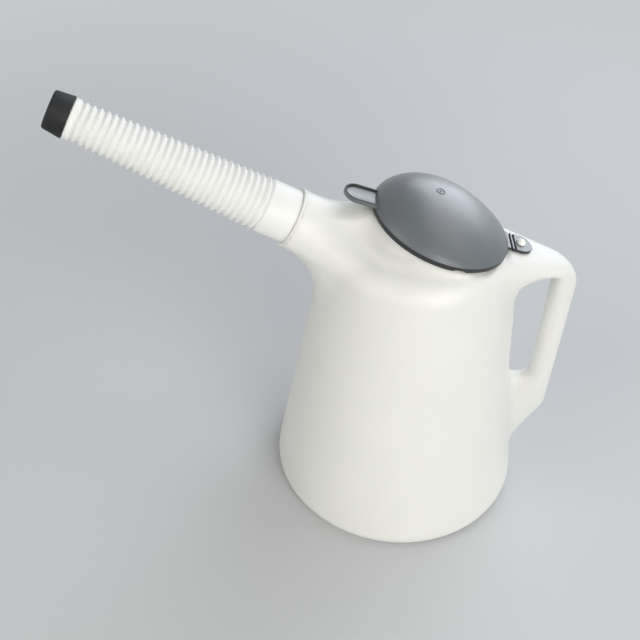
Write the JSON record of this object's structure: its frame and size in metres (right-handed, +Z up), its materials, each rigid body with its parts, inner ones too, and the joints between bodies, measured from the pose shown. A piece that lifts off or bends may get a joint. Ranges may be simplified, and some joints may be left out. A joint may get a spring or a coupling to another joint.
{
  "type": "measuring jug with flexible spout",
  "caption": "Conical milky plastic pouring jug with a hollow handle, tilted mouth with a hinged black domed lid, and a corrugated flexible spout with a pull-off cap.",
  "frame": {"origin": "middle of the base on the axis of the conical body, at the level it stands on", "axes": "+Z up along the conical body's axis, +X towards the handle, spout towards -X, +Y across"},
  "size_m": [0.3805, 0.205, 0.3475],
  "materials": {
    "milky_polyethylene": "translucent blow-moulded polyethylene, satin",
    "white_polyethylene": "moulded polyethylene, satin",
    "black_plastic": "moulded, satin black",
    "charcoal_plastic": "moulded, satin charcoal",
    "white_rivet": "moulded nylon, soft gloss"
  },
  "bodies": {
    "jug": {"jug_body": "milky_polyethylene", "flexible_spout": "white_polyethylene", "hinge_leaf": "charcoal_plastic", "hinge_rivet": "white_rivet"},
    "lid": {"lid": "charcoal_plastic"},
    "cap": {"spout_cap": "black_plastic"}
  },
  "joints": [
    {"name": "lid_hinge", "type": "hinge", "parent": "jug", "child": "lid", "pos_m": [0.06743, 0, 0.2396], "axis": [0, 1, 0], "range_deg": [0, 110]},
    {"name": "cap_pull", "type": "slide", "parent": "jug", "child": "cap", "axis": [-0.891, 0, 0.454], "range_m": [0, 0.025]}
  ]
}
